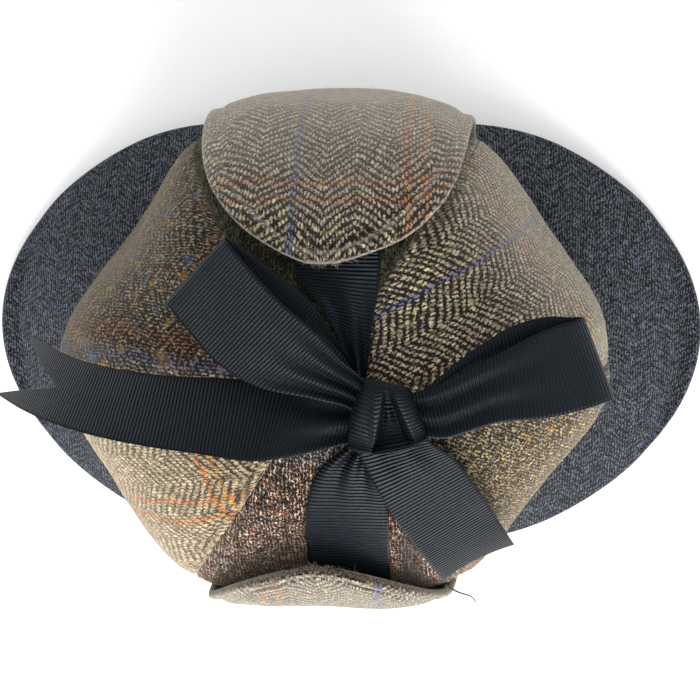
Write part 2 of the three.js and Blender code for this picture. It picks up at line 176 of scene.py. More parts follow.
def crown_point(angle, share):
    """A point of the crown's outside: angle 0 is the front, a quarter turn the wearer's left."""
    radius, rise = meridian.at(share)
    spread = max(radius / MEAN_RADIUS, 0.0)
    chord = math.sin(angle * GORES / 2) ** 2
    plan = spread * (1 - GORE_FLATTENING * min(share / 0.25, 1) * chord)
    plan -= spread * dent_depth(angle, share) / MEAN_RADIUS
    return Vector((
        RIM_HALF_WIDTH * plan * math.sin(angle),
        -RIM_HALF_LENGTH * plan * math.cos(angle),
        RIM_HEIGHT + rise))


def crown_normal(angle, share):
    step = 0.004
    along_a = crown_point(angle + step, share) - crown_point(angle - step, share)
    along_b = crown_point(angle, min(share + step, 1)) - crown_point(angle, max(share - step, 0))
    return along_a.cross(along_b).normalized()


def on_crown(x, y, lift):
    """The crown's outside above a place in plan, pushed out along its normal."""
    angle = math.atan2(x / RIM_HALF_WIDTH, -y / RIM_HALF_LENGTH)
    low, high = 0.3, 1.0
    for _ in range(18):
        share = (low + high) / 2
        place = crown_point(angle, share)
        if math.hypot(place.x, place.y) > math.hypot(x, y):
            low = share
        else:
            high = share
    return crown_point(angle, low) + crown_normal(angle, min(low, 0.985)) * lift


def beside_crown(side, forward, share, out):
    """The crown's outside at a place front to back, pushed out along its normal."""
    radius, _ = meridian.at(share)
    length = RIM_HALF_LENGTH * max(radius / MEAN_RADIUS, 0.05)
    angle = side * (math.pi / 2 + math.asin(min(max(forward / length, -0.99), 0.99)))
    return crown_point(angle, share) + crown_normal(angle, share) * out


def rim_point(angle):
    return Vector((RIM_HALF_WIDTH * math.sin(angle), -RIM_HALF_LENGTH * math.cos(angle), 0))


def rim_normal(angle):
    return Vector((math.sin(angle) / RIM_HALF_WIDTH, -math.cos(angle) / RIM_HALF_LENGTH, 0)).normalized()


# ------------------------------------------------------------------ modelling steps

def only(piece):
    bpy.ops.object.select_all(action="DESELECT")
    bpy.context.view_layer.objects.active = piece
    piece.select_set(True)


SHARES = {}                          # of each cloth's grid, corner by corner


def cloth_grid(name, columns, rows, surface, measure):
    """A grid primitive laid on surface(u, v), with the cloth's own lengths as its UV map in metres."""
    bpy.ops.object.select_all(action="DESELECT")
    bpy.ops.mesh.primitive_grid_add(x_subdivisions=columns, y_subdivisions=rows, size=1, calc_uvs=True)
    piece = bpy.context.object
    piece.name = piece.data.name = name
    mesh = piece.data
    shares = [(v.co.x + 0.5, v.co.y + 0.5) for v in mesh.vertices]
    SHARES[name] = shares
    weave = mesh.uv_layers.active.data
    for loop in mesh.loops:
        weave[loop.index].uv = measure(*shares[loop.vertex_index])
    for vertex, (u, v) in zip(mesh.vertices, shares):
        vertex.co = surface(u, v)
    mesh.update()
    return piece


def finish(piece, kind, **settings):
    """Adds a modifier and applies it."""
    only(piece)
    modifier = piece.modifiers.new(kind.title(), kind)
    for key, value in settings.items():
        setattr(modifier, key, value)
    bpy.ops.object.modifier_apply(modifier=modifier.name)
    return piece


def smooth(piece, angle=50):
    only(piece)
    bpy.ops.object.shade_smooth_by_angle(angle=math.radians(angle))
    return piece


def face_outwards(piece):
    only(piece)
    bpy.ops.object.mode_set(mode="EDIT")
    bpy.ops.mesh.select_all(action="SELECT")
    bpy.ops.mesh.normals_make_consistent(inside=False)
    bpy.ops.object.mode_set(mode="OBJECT")
    return piece


def flat_cut(piece):
    """The width and length of the flat cut of a sheet, from its UV map, and its area."""
    places = [corner.uv for corner in piece.data.uv_layers.active.data]
    size = [max(place[k] for place in places) - min(place[k] for place in places) for k in (0, 1)]
    return {"flat": size, "area": sum(face.area for face in piece.data.polygons)}


def thicken(piece, thickness, offset, levels=1):
    """Gives a sheet its thickness, then rounds its edges by subdividing."""
    finish(piece, "SOLIDIFY", thickness=thickness, offset=offset, use_quality_normals=True)
    face_outwards(piece)
    if levels:
        finish(piece, "SUBSURF", levels=levels, render_levels=levels)
    return smooth(piece)


def repeated(name, pattern, places):
    """One mesh of many copies of a small modelled pattern, each moved by a matrix."""
    corners = [vertex.co.copy() for vertex in pattern.data.vertices]
    faces = [tuple(face.vertices) for face in pattern.data.polygons]
    points, sides = [], []
    for place in places:
        start = len(points)
        points.extend(place @ corner for corner in corners)
        sides.extend(tuple(start + k for k in face) for face in faces)
    mesh = bpy.data.meshes.new(name)
    mesh.from_pydata(points, [], sides)
    piece = bpy.data.objects.new(name, mesh)
    bpy.context.scene.collection.objects.link(piece)
    bpy.data.objects.remove(pattern, do_unlink=True)
    return smooth(piece, 80)


def frame_at(place, forward, up, scale):
    """A matrix whose x runs forward and whose z points as far up as it can."""
    x = forward.normalized()
    y = up.cross(x).normalized()
    z = x.cross(y)
    turn = Matrix((x, y, z)).transposed().to_4x4()
    return Matrix.Translation(place) @ turn @ Matrix.Diagonal((*scale, 1))


def hand_over(piece, slot, material, *nodes):
    """Finishes a piece: its material, its body and the plain solids that it stands for. Its slot is not used.
    """
    piece.data.materials.clear()
    piece.data.materials.append(material)
    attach(piece, "root")
    if nodes:
        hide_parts(*nodes)
    return piece


# ------------------------------------------------------------------ shader writing

class Wire:
    """A shader value. Arithmetic on it adds Math nodes."""

    def __init__(self, shader, socket):
        self.shader = shader
        self.socket = socket

    def math(self, operation, *others):
        node = self.shader.node("ShaderNodeMath", {"operation": operation})
        for slot, value in zip(node.inputs, (self, *others)):
            self.shader.feed(slot, value)
        return Wire(self.shader, node.outputs[0])

    def __add__(self, other):
        return self.math("ADD", other)

    __radd__ = __add__

    def __mul__(self, other):
        return self.math("MULTIPLY", other)

    __rmul__ = __mul__

    def __sub__(self, other):
        return self.math("SUBTRACT", other)

    def __rsub__(self, other):
        return (self * -1) + other

    def __truediv__(self, other):
        return self.math("DIVIDE", other)

    def sine(self):
        return self.math("SINE")

    def size(self):
        return self.math("ABSOLUTE")

    def step(self, low, high):
        """0 below low, 1 above high, smooth between."""
        node = self.shader.node(
            "ShaderNodeMapRange", {"interpolation_type": "SMOOTHSTEP"},
            Value=self, **{"From Min": low, "From Max": high})
        return Wire(self.shader, node.outputs[0])


class Shader:
    """A material and the one way in which its nodes are added."""

    def __init__(self, name):
        self.material = bpy.data.materials.new(name)
        self.material.use_nodes = True
        self.tree = self.material.node_tree
        self.tree.nodes.clear()
        self.output = self.node("ShaderNodeOutputMaterial")
        self.skin = self.node("ShaderNodeBsdfPrincipled")
        self.tree.links.new(self.skin.outputs[0], self.output.inputs["Surface"])

    def node(self, kind, settings=None, **sockets):
        node = self.tree.nodes.new(kind)
        for key, value in (settings or {}).items():
            setattr(node, key, value)
        for key, value in sockets.items():
            self.feed(node.inputs[key], value)
        return node

    def feed(self, socket, value):
        if isinstance(value, Wire):
            self.tree.links.new(value.socket, socket)
        elif hasattr(value, "links"):
            self.tree.links.new(value, socket)
        else:
            socket.default_value = value

    def set(self, **values):
        for key, value in values.items():
            self.feed(self.skin.inputs[key.replace("_", " ")], value)

    def cloth_place(self, turn=0.0):
        """The cloth's own lengths in millimetres, turned to the weave: across its columns and along them."""
        uv = self.node("ShaderNodeUVMap", {"uv_map": "UVMap"})
        placed = self.node(
            "ShaderNodeMapping", None, Vector=uv.outputs[0], Rotation=(0, 0, turn), Scale=(1000, 1000, 1000))
        plane = placed.outputs[0]
        split = self.node("ShaderNodeSeparateXYZ", None, Vector=plane)
        return Wire(self, split.outputs[0]), Wire(self, split.outputs[1]), plane

    def noise(self, vector, scale, detail=2.0, roughness=0.5):
        node = self.node(
            "ShaderNodeTexNoise", None, Vector=vector, Scale=scale, Detail=detail, Roughness=roughness)
        return Wire(self, node.outputs[0])

    def stretched(self, vector, scales):
        node = self.node("ShaderNodeMapping", None, Vector=vector, Scale=scales)
        return node.outputs[0]

    def two_noises(self, vector, scale, detail=2.0):
        """Two unlike noises from one node, each about 0."""
        node = self.node("ShaderNodeTexNoise", None, Vector=vector, Scale=scale, Detail=detail)
        split = self.node("ShaderNodeSeparateColor", None, Color=node.outputs[1])
        return Wire(self, split.outputs[0]) - 0.5, Wire(self, split.outputs[1]) - 0.5

    def ramp(self, factor, stops):
        node = self.node("ShaderNodeValToRGB")
        stops_on = node.color_ramp.elements
        while len(stops_on) < len(stops):
            stops_on.new(0.5)
        for stop, (place, colour) in zip(stops_on, stops):
            stop.position = place
            stop.color = colour
        self.feed(node.inputs[0], factor)
        return node.outputs[0]

    def mix(self, factor, first, second):
        node = self.node("ShaderNodeMix", {"data_type": "RGBA"})
        self.feed(node.inputs[0], factor)
        self.feed(node.inputs[6], first)
        self.feed(node.inputs[7], second)
        return node.outputs[2]


def rgb(red, green, blue):
    return (red, green, blue, 1.0)


CREAM = rgb(0.60, 0.51, 0.34)
TAN = rgb(0.27, 0.195, 0.105)
OAT = rgb(0.42, 0.325, 0.19)
LILAC = rgb(0.22, 0.195, 0.20)
UMBER = rgb(0.014, 0.010, 0.007)
ORANGE = rgb(0.58, 0.17, 0.010)
RUST = rgb(0.28, 0.085, 0.012)
YELLOW = rgb(0.48, 0.24, 0.035)
BLUE = rgb(0.075, 0.12, 0.34)
BRIGHT_BLUE = rgb(0.04, 0.08, 0.28)
PALE_BLUE = rgb(0.07, 0.09, 0.16)
GREY = rgb(0.40, 0.40, 0.40)
NAVY = rgb(0.03, 0.04, 0.06)


YARN = 1.25                          # millimetres across one yarn


def tweed(name, dark, lights, clarity=1.0, column=12.0, pitch=3.3, turn=0.0, roughen=1.0, cover=0.0,
          sheen=0.7, sheen_tint=(0.95, 0.84, 0.68), lines=(), patches=(), lining=None):
    """Herringbone tweed. Light floats lie on a dark ground in slanting rows that turn at every column.

    clarity is how plainly the rows show, roughen how much the wool blurs them, cover how much light
    yarn there is. lines holds (axis, place, width, colour, strength) of the overcheck's stripes, and
    patches (colour, size, share) of the odd fibres. lining holds the two colours of the cloth's back.
    """
    shader = Shader(name)
    across, along, plane = shader.cloth_place(turn)
    drift_a, drift_b = shader.two_noises(plane, 0.07, detail=1)
    stray_a, stray_b = shader.two_noises(plane, 0.75, detail=2)
    across = across + drift_a * 4.0 + stray_a * (1.6 * roughen)
    along = along + drift_b * 4.0 + stray_b * (2.2 * roughen)
    yarns = across / YARN
    yarn = yarns.math("FLOOR")
    steps = max(round(column / YARN), 2)
    climb = yarn.math("PINGPONG", steps) * 0.285
    rows = ((along / pitch + climb) * (2 * math.pi)).sine()
    gaps = (yarns * (2 * math.pi)).math("COSINE")
    fine = shader.noise(plane, 1.25 / roughen, detail=4, roughness=0.7) - 0.5
    loft = shader.noise(plane, 0.30, detail=2) - 0.5
    relief = rows * (0.74 * clarity) - gaps * 0.46 + fine * (3.6 * roughen) + loft * 1.4 + cover
    mask = relief.step(0.05, 0.60)
    batch = shader.noise(shader.stretched(plane, (0.8, 0.13, 1)), 1.0, detail=2, roughness=0.6)
    count = len(lights)
    stops = [(0.30 + 0.40 * k / max(count - 1, 1), colour) for k, colour in enumerate(lights)]
    pale = shader.ramp(batch, stops)
    colour = shader.mix(mask, dark, pale)
    for k, (tint, size, share) in enumerate(patches):
        moved = shader.node("ShaderNodeMapping", None, Vector=plane, Location=(37.0 * (k + 1), 11.0, 0))
        spots = shader.noise(moved.outputs[0], 1 / size, detail=2)
        colour = shader.mix(spots.step(0.5 + share, 0.62 + share) * (0.35 + mask * 0.65), colour, tint)
    for axis, at, width, tint, strength in lines:
        place = (across if axis == "warp" else along) - at
        stripe = 1 - place.size().step(width * 0.2, width * 0.65)
        colour = shader.mix(stripe * (0.06 + mask * 0.94) * strength, colour, tint)
    if lining:
        inside = Wire(shader, shader.node("ShaderNodeAttribute", {"attribute_name": "lining"}).outputs["Fac"])
        flecks = shader.mix(shader.noise(plane, 0.8, detail=3).step(0.45, 0.6), *lining)
        colour = shader.mix(inside.step(0.45, 0.65), colour, flecks)
    toned = shader.node("ShaderNodeHueSaturation", None, Color=colour, Value=0.9 + loft * 1.4 + fine * 2.2)
    height = mask * 0.6 + fine * 1.5
    bump = shader.node("ShaderNodeBump", None, Strength=0.8, Distance=0.0007, Height=height)
    shader.set(Base_Color=toned.outputs[0], Roughness=0.95 - mask * 0.08, Normal=bump.outputs[0])
    shader.set(Sheen_Weight=sheen, Sheen_Roughness=0.36, Sheen_Tint=rgb(*sheen_tint), Specular_IOR_Level=0.12)
    return shader.material


def grosgrain(name, deep, painted_rib_highlight, rib=1.5):
    """Black ribbon with cross ribs and two smooth woven edges, with a painted highlight in a lighter colour
    along the rib crests.
    """
    shader = Shader(name)
    across, along, plane = shader.cloth_place()
    wander = shader.noise(plane, 0.05, detail=1)
    ribs = ((along + (wander - 0.5) * 0.5) * (2 * math.pi / rib)).sine() * 0.5 + 0.5
    edge = across.size().step(13.9, 14.3)
    threads = shader.noise(shader.stretched(plane, (0.35, 2.6, 1)), 1.0, detail=2) - 0.5
    flat = 1 - edge * 0.8
    height = ribs * flat + threads * 0.25
    bump = shader.node("ShaderNodeBump", None, Strength=1.0, Distance=0.00050, Height=height)
    # The lighter second colour on the rib crests is a painted highlight along each rib.
    tone = shader.mix((ribs * 0.8 + 0.15) * flat + threads * 0.5, deep, painted_rib_highlight)
    shader.set(Base_Color=tone, Roughness=0.44 - ribs * 0.10 + edge * 0.1, Normal=bump.outputs[0])
    shader.set(Sheen_Weight=0.02, Sheen_Roughness=0.3, Sheen_Tint=rgb(0.5, 0.62, 0.85), Specular_IOR_Level=0.17)
    shader.set(Specular_Tint=rgb(0.72, 0.86, 1.0))
    return shader.material


def thread(name, colour):
    shader = Shader(name)
    place = shader.node("ShaderNodeTexCoord").outputs["Object"]
    twist = shader.noise(place, 1500.0, detail=1)
    tone = shader.mix(twist, rgb(*[c * 0.6 for c in colour]), rgb(*colour))
    shader.set(Base_Color=tone, Roughness=0.8)
    shader.set(Sheen_Weight=0.2)
    return shader.material


def studio_paper():
    shader = Shader("studio_paper")
    place = shader.node("ShaderNodeTexCoord").outputs["Object"]
    grain = shader.noise(place, 40.0, detail=2)
    tone = shader.mix(grain, rgb(0.94, 0.94, 0.94), rgb(0.96, 0.96, 0.96))
    shader.set(Base_Color=tone, Roughness=0.9)
    return shader.material


MATERIALS = {
    "cream_brown_herringbone": tweed(
        "cream_brown_herringbone", UMBER, [TAN, CREAM, OAT, LILAC, TAN], clarity=1.0, sheen=0.7,
        sheen_tint=(1.0, 0.92, 0.80),
        lines=[("weft", 79, 2.6, ORANGE, 0.8), ("weft", 87, 2.6, RUST, 0.8), ("warp", 13.5, 2.4, BLUE, 0.75)],
        patches=[(rgb(0.30, 0.27, 0.10), 5, 0.10)]),
    "olive_tweed": tweed(
        "olive_tweed", rgb(0.012, 0.012, 0.007), [rgb(0.03, 0.03, 0.015), rgb(0.07, 0.066, 0.035)],
        clarity=0.3, sheen=0.15, roughen=1.2, patches=[(rgb(0.09, 0.12, 0.05), 4, 0.05)]),
    "brown_overcheck_tweed": tweed(
        "brown_overcheck_tweed", rgb(0.012, 0.009, 0.006),
        [rgb(0.16, 0.10, 0.04), rgb(0.36, 0.28, 0.15), rgb(0.15, 0.14, 0.13), rgb(0.32, 0.20, 0.07)],
        clarity=0.45, roughen=1.3, pitch=2.9, turn=math.radians(-21), cover=-0.12, sheen=0.4,
        lines=[("warp", 58, 6, RUST, 0.55), ("warp", 66, 5, BRIGHT_BLUE, 0.7), ("weft", 131, 8, RUST, 0.4),
               ("weft", 76, 10, YELLOW, 0.3)],
        patches=[(rgb(0.36, 0.20, 0.05), 7, 0.08), (rgb(0.10, 0.15, 0.26), 7, 0.10)]),
    "light_herringbone": tweed(
        "light_herringbone", rgb(0.05, 0.036, 0.022), [OAT, rgb(0.58, 0.47, 0.32), TAN, CREAM],
        clarity=0.95, cover=0.30, turn=math.radians(15),
        lines=[("warp", -17, 2.8, ORANGE, 0.75), ("warp", -9, 2.8, ORANGE, 0.75),
               ("weft", 137, 2.8, ORANGE, 0.8), ("weft", 142, 2.8, YELLOW, 0.9)],
        patches=[(rgb(0.40, 0.34, 0.18), 6, 0.10)]),
    "russet_tweed": tweed(
        "russet_tweed", rgb(0.014, 0.008, 0.006),
        [rgb(0.30, 0.16, 0.09), rgb(0.60, 0.44, 0.33), rgb(0.20, 0.09, 0.05), rgb(0.46, 0.39, 0.34)],
        clarity=0.15, roughen=1.5, cover=0.0, sheen=0.35,
        lines=[("weft", 168, 9, GREY, 0.7), ("warp", 24, 6, ORANGE, 0.8), ("warp", 34, 9, NAVY, 0.8)],
        patches=[(rgb(0.40, 0.12, 0.05), 4, 0.10)]),
    "ochre_tweed": tweed(
        "ochre_tweed", rgb(0.020, 0.015, 0.010),
        [rgb(0.24, 0.14, 0.03), rgb(0.42, 0.32, 0.13), rgb(0.18, 0.165, 0.16), rgb(0.44, 0.28, 0.06)],
        clarity=0.15, roughen=1.5, cover=0.05, sheen=0.35,
        patches=[(rgb(0.42, 0.22, 0.05), 6, 0.11)]),
    "flap_herringbone": tweed(
        "flap_herringbone", UMBER, [TAN, CREAM, OAT, LILAC, TAN], clarity=1.0, cover=-0.12, sheen=1.0,
        sheen_tint=(1.0, 0.93, 0.82),
        lines=[("warp", 12.5, 2.6, BLUE, 0.9), ("warp", -28.5, 2.4, ORANGE, 0.8),
               ("warp", -34.5, 2.4, ORANGE, 0.7), ("weft", 126, 2.4, ORANGE, 0.85),
               ("weft", 133.5, 2.4, ORANGE, 0.8)],
        patches=[(rgb(0.36, 0.31, 0.12), 5, 0.10)], lining=[rgb(0.016, 0.014, 0.014), rgb(0.16, 0.11, 0.06)]),
    "charcoal_tweed": tweed(
        "charcoal_tweed", rgb(0.005, 0.006, 0.008),
        [rgb(0.034, 0.038, 0.048), rgb(0.11, 0.12, 0.145), rgb(0.034, 0.04, 0.056)],
        clarity=0.4, roughen=1.1, column=10, pitch=2.7, sheen=0.45, sheen_tint=(0.62, 0.68, 0.78),
        lines=[("warp", -143, 4, PALE_BLUE, 0.5), ("warp", 143, 4, PALE_BLUE, 0.4),
               ("weft", -33, 4, PALE_BLUE, 0.5), ("weft", 37, 4, PALE_BLUE, 0.35)],
        patches=[(rgb(0.10, 0.13, 0.20), 7, 0.12)]),
}
# The second colour is a painted highlight along the rib crests, not a colour of the black ribbon.
RIBBON = grosgrain("black_grosgrain", rgb(0.0004, 0.0006, 0.0008), rgb(0.0072, 0.0094, 0.0128), rib=1.25)
DARK_THREAD = thread("dark_thread", (0.030, 0.026, 0.018))


def wool(name, colour, other):
    """Loose wool fibres that stand off the cloth."""
    shader = Shader(name)
    place = shader.node("ShaderNodeTexCoord").outputs["Object"]
    blend = shader.noise(place, 180.0, detail=1).step(0.4, 0.6)
    shader.set(Base_Color=shader.mix(blend, colour, other), Roughness=0.9)
    shader.set(Sheen_Weight=0.4, Specular_IOR_Level=0.15)
    return shader.material


# ------------------------------------------------------------------ camera, floor and lights

CAMERA_AIM = Vector((0.8, -6.3, 60)) * MM
CAMERA_LEAN = math.radians(9.4)      # over the wearer's left ear flap
CAMERA_SIDE = math.radians(3.8)      # towards the front peak
CAMERA_ROLL = math.radians(0.87)
CAMERA_DISTANCE = 480 * MM
CAMERA_LENS = 59.0


def set_camera():
    back = Vector((math.tan(CAMERA_LEAN), -math.tan(CAMERA_SIDE), 1)).normalized()
    level = Vector((0, -1, 0))
    right = (level - level.dot(back) * back).normalized()
    up = back.cross(right)
    turned_right = right * math.cos(CAMERA_ROLL) + up * math.sin(CAMERA_ROLL)
    turned_up = up * math.cos(CAMERA_ROLL) - right * math.sin(CAMERA_ROLL)
    data = bpy.data.cameras.new("camera")
    data.lens = CAMERA_LENS
    data.sensor_width = 36
    data.clip_start = 0.01
    camera = bpy.data.objects.new("camera", data)
    bpy.context.scene.collection.objects.link(camera)
    camera.matrix_world = Matrix.Translation(CAMERA_AIM + back * CAMERA_DISTANCE) @ Matrix(
        (turned_right, turned_up, back)).transposed().to_4x4()
    bpy.context.scene.camera = camera


def set_floor():
    bpy.ops.object.select_all(action="DESELECT")
    bpy.ops.mesh.primitive_plane_add(size=6)
    floor = bpy.context.object
    floor.name = "floor"
    floor.data.materials.append(studio_paper())


def area_light(name, place, size, power, colour=(1, 1, 1)):
    data = bpy.data.lights.new(name, "AREA")
    data.size = size
    data.energy = power
    data.color = colour
    light = bpy.data.objects.new(name, data)
    bpy.context.scene.collection.objects.link(light)
    light.location = place
    light.rotation_euler = (Vector((0, 0, 0.08)) - Vector(place)).to_track_quat("-Z", "Y").to_euler()


def set_lights():
    area_light("window", (-1.35, -0.25, 0.58), 1.5, 65, (1.0, 0.985, 0.96))
    area_light("fill", (1.1, 0.5, 0.75), 1.2, 4, (0.95, 0.97, 1.0))
    world = bpy.data.worlds.new("studio")
    world.use_nodes = True
    world.node_tree.nodes["Background"].inputs[0].default_value = (1, 1, 1, 1)
    world.node_tree.nodes["Background"].inputs[1].default_value = 1.0
    bpy.context.scene.world = world
    bpy.context.scene.view_settings.view_transform = "Standard"


# ------------------------------------------------------------------ the crown

SEAM_REACH = 1.1 * MM
SEAM_DEPTH = 1.5 * MM
TOPSTITCH = 3.2 * MM                 # a row of stitches this far to either side of a seam
STITCH_REACH = 0.75 * MM
STITCH_DEPTH = 0.75 * MM
STITCH_LENGTH = 2.4 * MM
APEX_SHARE = 0.992


def crown_relief(angle, share, from_seam, radius):
    """How far the soft cloth stands off its even form: seam grooves, puckers and slack."""
    place = crown_point(angle, share) / MM
    swell = noise.noise(place / 38) * 1.1 + noise.noise(place / 15) * 0.45
    along = share * meridian.length / MM
    pucker = math.sin(along / 1.7 + 2.5 * noise.noise(place / 11)) * 0.28 * bell(from_seam / (6 * MM))
    groove = SEAM_DEPTH * bell(from_seam / SEAM_REACH)
    groove += STITCH_DEPTH * bell((from_seam - TOPSTITCH) / STITCH_REACH)
    eased = min(share / 0.08, 1.0) * min((1 - share) / 0.05, 1.0)
    return (swell * eased + pucker * eased) * MM - groove * min(radius / (12 * MM), 1.0)


def crown_gore(name, first, slot):
    gore = 2 * math.pi / GORES

    def angle_at(u, share):
        middle = crown_point(first + gore / 2, share)
        trim = 0.03 * MM / max(math.hypot(middle.x, middle.y), 1 * MM)
        return first + trim + u * (gore - 2 * trim)

    def width_at(share):
        a, b = crown_point(first, share), crown_point(first + gore, share)
        return (a - b).length

    def surface(u, v):
        share = v * APEX_SHARE
        angle = angle_at(u, share)
        width = width_at(share)
        from_seam = min(u, 1 - u) * width
        point = crown_point(angle, share)
        return point + crown_normal(angle, share) * crown_relief(angle, share, from_seam, width)

    def measure(u, v):
        share = v * APEX_SHARE
        return ((u - 0.5) * width_at(share), share * meridian.length)

    piece = cloth_grid(f"{name}_cloth", 72, 110, surface, measure)
    cut = flat_cut(piece)
    thicken(piece, CROWN_WALL, -1, levels=0)
    hand_over(piece, slot, MATERIALS[slot], name)


PANELS = [
    ("crown_panel_front_left", 0, "cream_brown_herringbone"),
    ("crown_panel_left", 60, "olive_tweed"),
    ("crown_panel_rear_left", 120, "brown_overcheck_tweed"),
    ("crown_panel_rear_right", 180, "light_herringbone"),
    ("crown_panel_right", 240, "russet_tweed"),
    ("crown_panel_front_right", 300, "ochre_tweed"),
]
SLOT_OF = {
    **{name: slot for name, _, slot in PANELS},
    "peak_front": "charcoal_tweed", "peak_rear": "charcoal_tweed",
    "ear_flap_left": "flap_herringbone", "ear_flap_right": "flap_herringbone",
}


def make_crown():
    for name, first, slot in PANELS:
        crown_gore(name, math.radians(first), slot)


def crown_skin(angle, share):
    """A point of the soft crown as it is sewn, and its outward direction."""
    gore = 2 * math.pi / GORES
    near = (angle / gore - math.floor(angle / gore)) * gore
    first = angle - near
    width = (crown_point(first, share) - crown_point(first + gore, share)).length
    from_seam = min(near, gore - near) / gore * width
    normal = crown_normal(angle, share)
    return crown_point(angle, share) + normal * crown_relief(angle, share, from_seam, width), normal


def make_topstitching():
    bpy.ops.object.select_all(action="DESELECT")
    bpy.ops.mesh.primitive_uv_sphere_add(segments=8, ring_count=6, radius=1)
    pattern = bpy.context.object
    places = []
    for seam in range(GORES):
        for side in (-1, 1):
            run = 3 * MM
            while run < meridian.length * 0.93:
                share = run / meridian.length
                radius = meridian.at(share)[0]
                angle = math.radians(60 * seam) + side * TOPSTITCH / max(radius, 8 * MM)
                point, normal = crown_skin(angle, share)
                ahead, _ = crown_skin(angle, share + 0.006)
                size = (STITCH_LENGTH * 0.42, 0.33 * MM, 0.24 * MM)
                places.append(frame_at(point + normal * 0.05 * MM, ahead - point, normal, size))
                run += STITCH_LENGTH * GRAIN.uniform(0.97, 1.03)
    stitches = repeated("crown_topstitching", pattern, places)
    hand_over(stitches, "olive_tweed", DARK_THREAD)


# ------------------------------------------------------------------ the peaks

def peak_width(angle):
    point, normal = rim_point(angle), rim_normal(angle)
    a = (normal.x / PEAK_HALF_WIDTH) ** 2 + (normal.y / PEAK_HALF_LENGTH) ** 2
    b = point.x * normal.x / PEAK_HALF_WIDTH ** 2 + point.y * normal.y / PEAK_HALF_LENGTH ** 2
    c = (point.x / PEAK_HALF_WIDTH) ** 2 + (point.y / PEAK_HALF_LENGTH) ** 2 - 1
    return (math.sqrt(b * b - a * c) - b) / a


def make_peak(name, heading):
    middle_drop = math.atan2(RIM_HEIGHT - CLEARANCE - PEAK_THICKNESS, peak_width(heading) - PEAK_REST)

    def surface(u, v):
        turn = (2 * u - 1) * PEAK_HALF_SPAN
        past = max(abs(turn) - PEAK_FULL_SPAN, 0) / (PEAK_HALF_SPAN - PEAK_FULL_SPAN)
        kept = math.sqrt(max(1 - past * past, 0))
        width = PEAK_END_WIDTH + (peak_width(heading + turn) - PEAK_END_WIDTH) * kept
        slope = middle_drop + (PEAK_DROP_AT_TIP - middle_drop) * (turn / PEAK_HALF_SPAN) ** 2
        out = -CROWN_WALL + v * (width + CROWN_WALL)
        point = rim_point(heading + turn) + rim_normal(heading + turn) * out
        point.z = max(RIM_HEIGHT - CLEARANCE - max(out, 0) * math.tan(slope), PEAK_THICKNESS)
        bow = noise.noise(Vector((point.x, point.y, 0)) / (45 * MM)) * 0.5 * MM * min(v * 4, 1)
        point.z = max(point.z + bow, PEAK_THICKNESS)
        return point

    def measure(u, v):
        point = surface(u, v)
        return (point.y, point.x)

    piece = cloth_grid(f"{name}_cloth", 96, 22, surface, measure)
    cut = flat_cut(piece)
    thicken(piece, PEAK_THICKNESS, -1)
    for vertex in piece.data.vertices:
        sink = PEAK_SINK * max(1 - vertex.co.z / (6 * MM), 0)
        vertex.co.z = max(vertex.co.z - sink, 0.0)
    hand_over(piece, "charcoal_tweed", MATERIALS["charcoal_tweed"], name)


# ------------------------------------------------------------------ the ear flaps

# From the sewn edge under the rim to the fold: out, up and half width.
FLAP_STARTS = [(-1.2, -3.0, FLAP_HINGE_HALF_WIDTH), (3.0, -3.4, FLAP_HINGE_HALF_WIDTH),
               (8.0, 1.5, FLAP_HALF_WIDTH - 3 * MM), (10.0, 6.0, FLAP_HALF_WIDTH)]
# Over the crown to the free end: the flap's side, its shift towards the rear, and rows of its share
# of the meridian and its distance from the crown.
FLAP_LIES = {
    "ear_flap_left": (1, -3 * MM, [
        (0.07, 9.5), (0.20, 7.0), (0.35, 5.5), (0.50, 5.0), (0.62, 5.0), (0.745, 5.5)]),
    "ear_flap_right": (-1, -1 * MM, [
        (0.07, 8.5), (0.18, 5.5), (0.30, 4.5), (0.42, 5.0), (0.53, 7.0), (0.64, 10.5)]),
}
PAD_SWELL = 2.2 * MM                 # the most that the padding may push the cloth out
EDGE_ROLL = 4.6 * MM                 # the seam inside a flap's rolled edge
EDGE_GROOVE = 1.3 * MM
FLAP_PULL = 16 * MM                  # how far the left flap's weave is drawn up at its front corner


def flap_rows(name):
    """The flap's rows as functions from -1 to 1 across it, each with its half width."""
    side, shift, lies = FLAP_LIES[name]
    rows = []
    for out, up, half in FLAP_STARTS:
        def start(across, out=out, up=up, half=half):
            angle = side * (math.pi / 2 + math.asin((shift + half * across) / RIM_HALF_LENGTH))
            tuck = FLAP_CORNER_TUCK * across * across * max(out, 0) / 10
            point = rim_point(angle) + rim_normal(angle) * (out * MM - tuck)
            point.z = RIM_HEIGHT + up * MM
            return point
        rows.append((start, half))
    lie = Route([(share, out * MM) for share, out in lies])
    steps = 14
    for j in range(steps + 1):
        along = math.sin(j / steps * math.pi / 2) * 0.997
        half = FLAP_HALF_WIDTH * math.sqrt(1 - along ** FLAP_ROUNDNESS)
        share, out = lie.at_rows(along)

        def row(across, share=share, out=out, half=half, ease=(1 - along) ** 2):
            tuck = FLAP_CORNER_TUCK * across * across * ease
            return beside_crown(side, shift + half * across, share, out - tuck)
        rows.append((row, half))
    return rows


